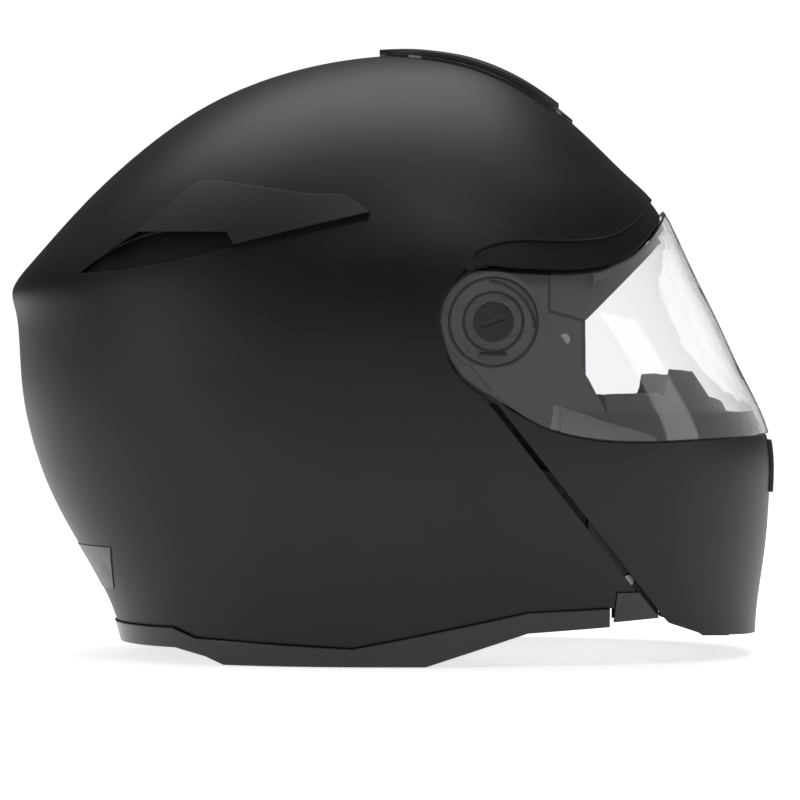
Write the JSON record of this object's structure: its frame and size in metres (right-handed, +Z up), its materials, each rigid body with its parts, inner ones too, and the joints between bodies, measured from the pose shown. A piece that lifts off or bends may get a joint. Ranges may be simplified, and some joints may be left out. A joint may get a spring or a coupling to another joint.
{
  "type": "modular motorcycle helmet",
  "caption": "Closed flip-up motorcycle helmet in matt black with a clear visor, a hinged chin bar, a crown vent and side fins.",
  "frame": {"origin": "under the middle of the helmet's length and width, on the surface it stands on", "axes": "+X is the wearer's forward, +Y the wearer's left, +Z up"},
  "size_m": [0.3403, 0.2522, 0.27],
  "materials": {
    "shell_paint": "matte",
    "vent_plastic": "matte",
    "gloss_strip": "gloss",
    "lock_plastic": "satin",
    "trim_rubber": "satin",
    "seal_rubber": "matte",
    "foam": "matte",
    "lining": "matte",
    "webbing": "matte",
    "inner_plastic": "satin",
    "visor_clear": "gloss",
    "patch": "satin",
    "steel": "satin"
  },
  "bodies": {
    "shell": {"outer_shell": "shell_paint", "edge_trim": "trim_rubber", "lock_cover_right": "lock_plastic", "lock_cover_left": "lock_plastic", "crown_eps": "foam", "side_eps": "foam", "seam_seal_right": "seal_rubber", "seam_seal_left": "seal_rubber", "crown_pad": "lining", "cheek_eps_right": "foam", "cheek_eps_left": "foam", "cheek_pad_right": "lining", "cheek_pad_left": "lining", "neck_roll": "lining", "port_trim": "seal_rubber", "brow_gasket": "seal_rubber", "side_plate_right": "inner_plastic", "side_plate_left": "inner_plastic", "plate_screws": "steel", "pivot_screws": "steel", "rear_vent_right": "vent_plastic", "rear_vent_left": "vent_plastic", "top_vent_base": "gloss_strip", "top_vent_cover": "vent_plastic", "rear_patch": "patch", "strike_pins": "steel", "strap_right": "webbing", "strap_left": "webbing", "strap_rivets": "steel", "buckle_housing": "inner_plastic", "strap_tongue": "steel"},
    "vent_slider": {"top_vent_slider": "vent_plastic"},
    "chin_bar": {"chin_shell": "shell_paint", "chin_arm_right": "inner_plastic", "chin_arm_left": "inner_plastic", "arm_screws": "steel", "chin_eps": "foam", "chin_lining": "lining", "chin_gasket": "seal_rubber", "breath_deflector": "seal_rubber", "chin_curtain": "lining", "chin_vent_frame": "vent_plastic", "latch_pivots": "steel"},
    "chin_shutter": {"chin_vent_shutter": "vent_plastic"},
    "release": {"release_button": "lock_plastic", "latch_rod": "steel"},
    "hook_right": {"latch_hook_right": "steel"},
    "hook_left": {"latch_hook_left": "steel"},
    "visor_lift": {"visor_lift_plates": "inner_plastic"},
    "visor_carrier": {"visor_slide_plates": "inner_plastic", "hub_caps": "inner_plastic"},
    "visor": {"visor_lens": "visor_clear", "visor_rings": "inner_plastic"},
    "buckle_lever": {"buckle_lever": "lock_plastic"}
  },
  "joints": [
    {"name": "chin_flip", "type": "hinge", "parent": "shell", "child": "chin_bar", "pos_m": [0.042, 0, 0.145], "axis": [0, 1, 0], "range_deg": [-55, 0]},
    {"name": "visor_lift", "type": "slide", "parent": "chin_bar", "child": "visor_lift", "axis": [0.9659, 0, 0.2588], "range_m": [0, 0.028]},
    {"name": "visor_advance", "type": "slide", "parent": "visor_lift", "child": "visor_carrier", "axis": [0.5, 0, 0.866], "range_m": [0, 0.0064]},
    {"name": "visor_open", "type": "hinge", "parent": "visor_carrier", "child": "visor", "pos_m": [0.042, 0, 0.145], "axis": [0, -1, 0], "range_deg": [0, 32]},
    {"name": "crown_vent", "type": "slide", "parent": "shell", "child": "vent_slider", "axis": [0.9023, 0, -0.4311], "range_m": [0, 0.008]},
    {"name": "chin_vent", "type": "slide", "parent": "chin_bar", "child": "chin_shutter", "axis": [0, 0, 1], "range_m": [0, 0.006]},
    {"name": "lock_release", "type": "slide", "parent": "chin_bar", "child": "release", "axis": [0, 0, 1], "range_m": [0, 0.005], "stiffness_N_per_m": 1200},
    {"name": "hook_turn_right", "type": "hinge", "parent": "chin_bar", "child": "hook_right", "pos_m": [0.117, 0, 0.036], "axis": [0, 1, 0], "range_deg": [0, 14]},
    {"name": "hook_turn_left", "type": "hinge", "parent": "chin_bar", "child": "hook_left", "pos_m": [0.117, 0, 0.036], "axis": [0, 1, 0], "range_deg": [0, 14]},
    {"name": "buckle_release", "type": "hinge", "parent": "shell", "child": "buckle_lever", "pos_m": [0.03, 0.0176, 0.018], "axis": [-1, 0, 0], "range_deg": [0, 35], "stiffness_Nm_per_rad": 0.05}
  ],
  "couplings": [
    {"joint": "visor_lift", "follows": "chin_flip", "m_per_rad": -0.029169},
    {"joint": "visor_advance", "follows": "visor_open", "m_per_rad": 0.011459},
    {"joint": "hook_turn_right", "follows": "lock_release", "rad_per_m": 48.869},
    {"joint": "hook_turn_left", "follows": "lock_release", "rad_per_m": 48.869}
  ]
}
